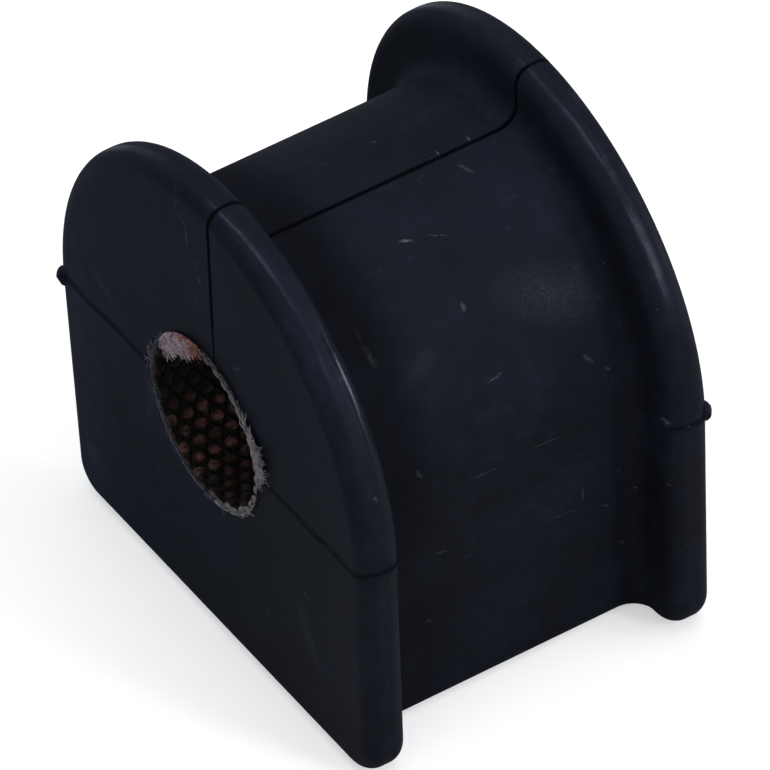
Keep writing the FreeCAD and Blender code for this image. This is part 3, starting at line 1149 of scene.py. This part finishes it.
EDGING: tuple[Tuft | Binding, ...] = (
    Tuft(Cotton.WHITE, (105, 140), 560, (0.8, 2.8), -0.9, 0.8),
    Tuft(Cotton.WHITE, (8, 28), 190, (0.6, 2.0), 0.8, 0.7),
    Tuft(Cotton.PALE, (-8, 44), 130, (0.7, 2.3), 0.8, 0.8),
    Tuft(Cotton.PALE, (7, 24), 110, (1.2, 3.0), 1.1, 0.55),
    Tuft(Cotton.PALE, (276, 326), 80, (0.3, 0.9), 0.2, 1.0),
    Binding(Cotton.PALE, (-6, 52), 1.5),
    Binding(Cotton.PALE, (284, 340), 1.3),
    Tuft(Cotton.DIM, (48, 90), 50, (0.2, 0.6), 0.1, 0.9),
    Binding(Cotton.DIM, (50, 90), 1.2),
    Binding(Cotton.DIM, (148, 275), 1.2),
    Tuft(Cotton.DIM, (140, 280), 130, (0.3, 1.2), 0.6, 0.8),
    Tuft(Cotton.DIM, (166, 178), 30, (0.8, 1.8), 0.9, 0.8),
    Tuft(Cotton.ORANGE, (94, 120), 260, (0.5, 2.0), -0.6, 0.8),
)

COTTON_FINISHES: dict[Cotton, PlainFinish] = {
    Cotton.WHITE: PlainFinish("white_cotton", (0.50, 0.42, 0.46), (0.30, 0.22, 0.25)),
    Cotton.PALE: PlainFinish("pale_cotton", (0.38, 0.35, 0.36), (0.15, 0.14, 0.15)),
    Cotton.DIM: PlainFinish("dim_cotton", (0.15, 0.15, 0.19), (0.05, 0.052, 0.066)),
    Cotton.ORANGE: PlainFinish("orange_cotton", (0.38, 0.17, 0.14), (0.17, 0.06, 0.05)),
}


@dataclass
class Frays:
    """Loose fibres where the liner is cut off at the mouths of the bore, in millimetres and degrees."""

    seed: int = 7
    thickness: float = 0.045

    # A tuft's fibres
    fibre_steps: int = 4
    fibre_radius: Span = (11.5, 12.25)
    fibre_lean: Span = (-0.7, 0.7)
    fibre_drift: Span = (-9, 9)
    fibre_curl: Span = (-0.4, 0.4)
    fibre_size: Span = (0.6, 1.2)
    fibre_foot: float = 25.65
    fibre_rise: Span = (0.5, 1.0)
    lean_slack: float = 0.25
    rise_slack: float = 0.75
    curl_turns: float = 3.0
    curl_reach: float = 8.0

    # A binding's threads
    thread_run: Span = (12, 30)
    thread_gap: Span = (0, 4)
    thread_pitch: float = 2.5
    thread_wander: Span = (-0.10, 0.14)
    thread_foot: float = 25.9
    thread_rise: Span = (0, 0.15)
    thread_size: Span = (0.7, 1.2)

    def thread(self, curve: bpy.types.Curve, points: list[Vector], size: float) -> None:
        """Adds one fibre.

        Args:
            curve: Where it goes.
            points: The points it runs along, in millimetres.
            size: Its thickness beside the usual one.
        """
        spline = curve.splines.new("POLY")
        spline.points.add(len(points) - 1)
        for spot, point in zip(spline.points, points):
            spot.co = (*(point * MM), 1)
            spot.radius = size

    def spot(self, angle: float, radius: float, along: float) -> Vector:
        """A place by its angle from +X towards +Z in degrees, its radius and its place along the bore."""
        turn = math.radians(angle)
        return Vector((radius * math.cos(turn), along, radius * math.sin(turn)))

    def tuft(self, curve: bpy.types.Curve, dice: random.Random, tuft: Tuft, side: int) -> None:
        """Scatters a tuft's fibres.

        Args:
            curve: Where they go.
            dice: The source of chance.
            tuft: The tuft.
            side: -1 for the front mouth, 1 for the back one.
        """
        for _ in range(tuft.count):
            angle = dice.uniform(*tuft.angles)
            radius = dice.uniform(*self.fibre_radius)
            length = dice.uniform(*tuft.reach)
            lean = tuft.out + dice.uniform(*self.fibre_lean)
            drift = dice.uniform(*self.fibre_drift)
            curl = dice.uniform(*self.fibre_curl)
            points = []
            for step in range(self.fibre_steps + 1):
                share = step / self.fibre_steps
                spread = radius + length * share * lean * (1 - self.lean_slack * share)
                rise = length * share * (1 - self.rise_slack * share) * dice.uniform(*self.fibre_rise)
                turn = angle + drift * share + curl * math.sin(self.curl_turns * share) * self.curl_reach
                points.append(self.spot(turn, spread, side * (self.fibre_foot + rise)))
            self.thread(curve, points, tuft.size * dice.uniform(*self.fibre_size))

    def binding(self, curve: bpy.types.Curve, dice: random.Random, binding: Binding, side: int) -> None:
        """Lays a loose thread along the cut edge, with short breaks in it.

        Args:
            curve: Where it goes.
            dice: The source of chance.
            binding: The thread.
            side: -1 for the front mouth, 1 for the back one.
        """
        angle, end = binding.angles
        while angle < end:
            last = min(angle + dice.uniform(*self.thread_run), end)
            count = max(3, int((last - angle) / self.thread_pitch))
            points = []
            for step in range(count + 1):
                turn = angle + (last - angle) * step / count
                radius = BORE_RADIUS + dice.uniform(*self.thread_wander)
                along = side * (self.thread_foot + dice.uniform(*self.thread_rise))
                points.append(self.spot(turn, radius, along))
            self.thread(curve, points, binding.size * dice.uniform(*self.thread_size))
            angle = last + dice.uniform(*self.thread_gap)

    def new_curve(self, cotton: Cotton) -> bpy.types.Curve:
        """Starts a bundle of fibres.

        Args:
            cotton: Their kind.

        Returns:
            The bundle.
        """
        curve = bpy.data.curves.new(cotton.value, "CURVE")
        curve.dimensions = "3D"
        curve.bevel_depth = self.thickness * MM
        curve.bevel_resolution = 1
        curve.use_fill_caps = True
        return curve

    def finish(self, curve: bpy.types.Curve, cotton: Cotton) -> bpy.types.Object:
        """Turns the fibres into one mesh piece with its finish.

        Args:
            curve: The bundle.
            cotton: Its kind.

        Returns:
            The piece.
        """
        piece = bpy.data.objects.new(cotton.value, curve)
        bpy.context.scene.collection.objects.link(piece)
        select_only([piece])
        bpy.ops.object.convert(target="MESH")
        piece = bpy.context.object
        piece.data.materials.clear()
        piece.data.materials.append(COTTON_FINISHES[cotton].make())
        return piece

    def build(self) -> list[bpy.types.Object]:
        """Makes the white plug of fluff, the pale fibres, the dim ones and the orange ones.

        Returns:
            The pieces.
        """
        dice = random.Random(self.seed)
        curves = {cotton: self.new_curve(cotton) for cotton in Cotton}
        for side in (-1, 1):
            for edging in EDGING:
                lay = self.tuft if isinstance(edging, Tuft) else self.binding
                lay(curves[edging.cotton], dice, edging, side)
        return [self.finish(curve, cotton) for cotton, curve in curves.items()]


@dataclass
class Flash:
    """Ragged nibs of rubber left on the rims where the two halves of the mould met, in millimetres."""

    nibs: tuple[tuple[Place, Place], ...] = (
        ((-33.7, -25.2, -0.6), (1.1, 0.8, 1.5)),
        ((33.8, 24.9, 0.4), (1.1, 0.9, 1.5)),
        ((-34.0, 24.9, 0.2), (0.8, 0.8, 0.7)),
        ((34.6, -24.0, 0.0), (0.35, 0.9, 0.25)),
        ((33.4, 19.7, 0.6), (0.7, 0.35, 0.4)),
    )
    fineness: int = 4
    crumbs: float = 0.04
    lump_size: float = 0.9
    lump_height: float = 0.4

    def nib(self, number: int, place: Place, size: Place) -> bpy.types.Object:
        """Makes one nib.

        Args:
            number: Which one it is.
            place: Its middle.
            size: Its half sizes.

        Returns:
            The nib.
        """
        bpy.ops.object.select_all(action="DESELECT")
        bpy.ops.mesh.primitive_ico_sphere_add(subdivisions=self.fineness, radius=MM)
        nib = bpy.context.object
        nib.scale = size
        apply_place(scale=True)
        bpy.ops.object.mode_set(mode="EDIT")
        bpy.ops.mesh.select_all(action="SELECT")
        bpy.ops.transform.vertex_random(offset=self.crumbs * MM, uniform=1.0, seed=number + 1)
        bpy.ops.object.mode_set(mode="OBJECT")
        lumps = bpy.data.textures.new(f"lumps_{number}", "CLOUDS")
        lumps.noise_scale = self.lump_size * MM
        swell = nib.modifiers.new("lumps", "DISPLACE")
        swell.texture = lumps
        swell.texture_coords = "LOCAL"
        swell.strength = self.lump_height * MM
        bpy.ops.object.modifier_apply(modifier="lumps")
        nib.location = Vector(place) * MM
        apply_place(location=True)
        bpy.ops.object.shade_smooth()
        return nib

    def build(self) -> bpy.types.Object:
        """Makes the nibs as one piece.

        Returns:
            The piece.
        """
        nibs = enumerate(self.nibs)
        flash = join([self.nib(number, place, size) for number, (place, size) in nibs])
        flash.name = "flash_nibs"
        return flash


@dataclass(frozen=True)
class SoftBox:
    """A lamp that faces the bushing: its place and sizes in metres, and its power in watts."""

    name: str
    place: Place
    width: float
    height: float
    power: float

    def hang(self) -> None:
        """Adds the lamp to the scene."""
        data = bpy.data.lights.new(self.name, "AREA")
        data.shape = "RECTANGLE"
        data.size = self.width
        data.size_y = self.height
        data.energy = self.power
        lamp = bpy.data.objects.new(self.name, data)
        bpy.context.scene.collection.objects.link(lamp)
        lamp.location = self.place
        lamp.rotation_mode = "QUATERNION"
        lamp.rotation_quaternion = (-Vector(self.place)).to_track_quat("-Z", "Y")


@dataclass
class Studio:
    """The floor, the surround, the lights and the camera round the bushing."""

    # The floor's side in metres, and its colours to the object's left, to its right and to the camera
    floor_side: float = 8.0
    floor_left: Color = (0.22, 0.245, 0.275)
    floor_right: Color = (0.44, 0.42, 0.38)
    floor_shown: Color = (0.74, 0.74, 0.74)
    floor_grade: Fade = Fade(-40.0, 80.0)
    floor_lift: float = 0.47

    # The surround, which is dimmer behind the object and on its left
    sky: Color = (0.91, 0.95, 1.0)
    sky_behind: Fade = Fade(0.30, 0.85, 0.62, 0.22)
    sky_left: Fade = Fade(-0.5, -0.9, 1.0, 0.5)

    lamps: tuple[SoftBox, ...] = (
        SoftBox("top_strip", (-0.15, 0.24, 2.6), 3.8, 0.34, 29.0),
        SoftBox("right_strip", (1.95, 0.95, 1.25), 0.5, 1.5, 21.0),
        SoftBox("back_strip", (0.72, 2.7, 0.26), 0.6, 0.55, 18.0),
        SoftBox("front_box", (1.0, -2.4, 1.3), 1.4, 1.4, 6.0),
    )

    # The view, fitted to the photograph: a turn as a rotation vector, a shift and a distance in view units
    view_turn: Place = (2.10098, 1.11460, -0.53918)
    view_shift: Span = (0.38899, 5.23710)
    view_distance: float = 1 / 0.00068485
    view_unit: float = 35 / 34
    pixels_per_unit: float = 8.35973
    picture_side: int = 770
    sensor_width: float = 36.0

    def build(self) -> None:
        """Makes floor, surround, lights and camera."""
        self.make_floor()
        self.make_world()
        for lamp in self.lamps:
            lamp.hang()
        self.make_camera()

    def make_floor(self) -> None:
        """A wide floor under the base, grey to the object and pale to the camera."""
        bpy.ops.object.select_all(action="DESELECT")
        bpy.ops.mesh.primitive_plane_add(size=self.floor_side, location=(0, 0, -BASE_DEPTH * MM))
        floor = bpy.context.object
        floor.name = "floor"
        material, graph, shader = new_material("floor_paper")
        seen = graph.add("ShaderNodeLightPath").outputs["Is Camera Ray"]
        grade = graph.fade(graph.coordinates().across, self.floor_grade)
        bounced = graph.blend(grade, self.floor_left, self.floor_right)
        graph.feed(shader.inputs["Base Color"], graph.blend(seen, bounced, self.floor_shown))
        shader.inputs["Roughness"].default_value = 1.0
        shader.inputs["Specular IOR Level"].default_value = 0.0
        shader.inputs["Emission Color"].default_value = (1.0, 1.0, 1.0, 1.0)
        graph.feed(shader.inputs["Emission Strength"], graph.times(seen, self.floor_lift))
        floor.data.materials.append(material)

    def make_world(self) -> None:
        """A pale surround that is dimmer behind the object and on its left."""
        world = bpy.data.worlds.new("surround")
        bpy.context.scene.world = world
        world.use_nodes = True
        background = world.node_tree.nodes["Background"]
        background.inputs["Color"].default_value = (*self.sky, 1.0)
        graph = Graph(world.node_tree)
        direction = graph.add("ShaderNodeSeparateXYZ")
        graph.feed(direction.inputs[0], graph.add("ShaderNodeTexCoord").outputs["Generated"])
        behind = graph.fade(direction.outputs["Y"], self.sky_behind)
        beside = graph.fade(direction.outputs["X"], self.sky_left)
        graph.feed(background.inputs["Strength"], graph.times(behind, beside))

    def make_camera(self) -> None:
        """The camera at the photograph's angle: a long lens, 1.5 m away."""
        turn = Vector(self.view_turn)
        to_view = Matrix.Rotation(turn.length, 3, turn.normalized())
        shift = Vector((*self.view_shift, -self.view_distance))
        place = to_view.transposed() @ shift * self.view_unit * MM
        flip = Matrix(((1, 0, 0), (0, -1, 0), (0, 0, -1)))
        data = bpy.data.cameras.new("camera")
        camera = bpy.data.objects.new("camera", data)
        bpy.context.scene.collection.objects.link(camera)
        data.sensor_width = self.sensor_width
        data.lens = self.pixels_per_unit * self.view_distance / self.picture_side * self.sensor_width
        data.clip_start = 0.1
        data.clip_end = 20
        camera.matrix_world = Matrix.Translation(place) @ (to_view.transposed() @ flip).to_4x4()
        bpy.context.scene.camera = camera


def main() -> None:
    """Loads the frame, dresses it and lights it."""
    logging.basicConfig(level=logging.INFO)
    bpy.ops.wm.read_factory_settings(use_empty=True)
    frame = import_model()
    bpy.context.scene.view_settings.view_transform = "Standard"
    rubber = frame["nodes"]["rubber_bushing"]
    moulded = RubberFinish().make()
    rubber.data.materials.clear()
    rubber.data.materials.append(moulded)
    nibs = Flash().build()
    nibs.data.materials.append(moulded)
    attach(nibs, "root")
    logger.info("rubber dressed, %d faces of flash", len(nibs.data.polygons))
    liner = WovenLiner().build()
    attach(liner, "root")
    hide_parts("bore_liner")
    logger.info("liner woven, %d faces", len(liner.data.polygons))
    for piece in Frays().build():
        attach(piece, "root")
        logger.info("%s, %d faces", piece.name, len(piece.data.polygons))
    Studio().build()


if __name__ == "__main__":
    main()
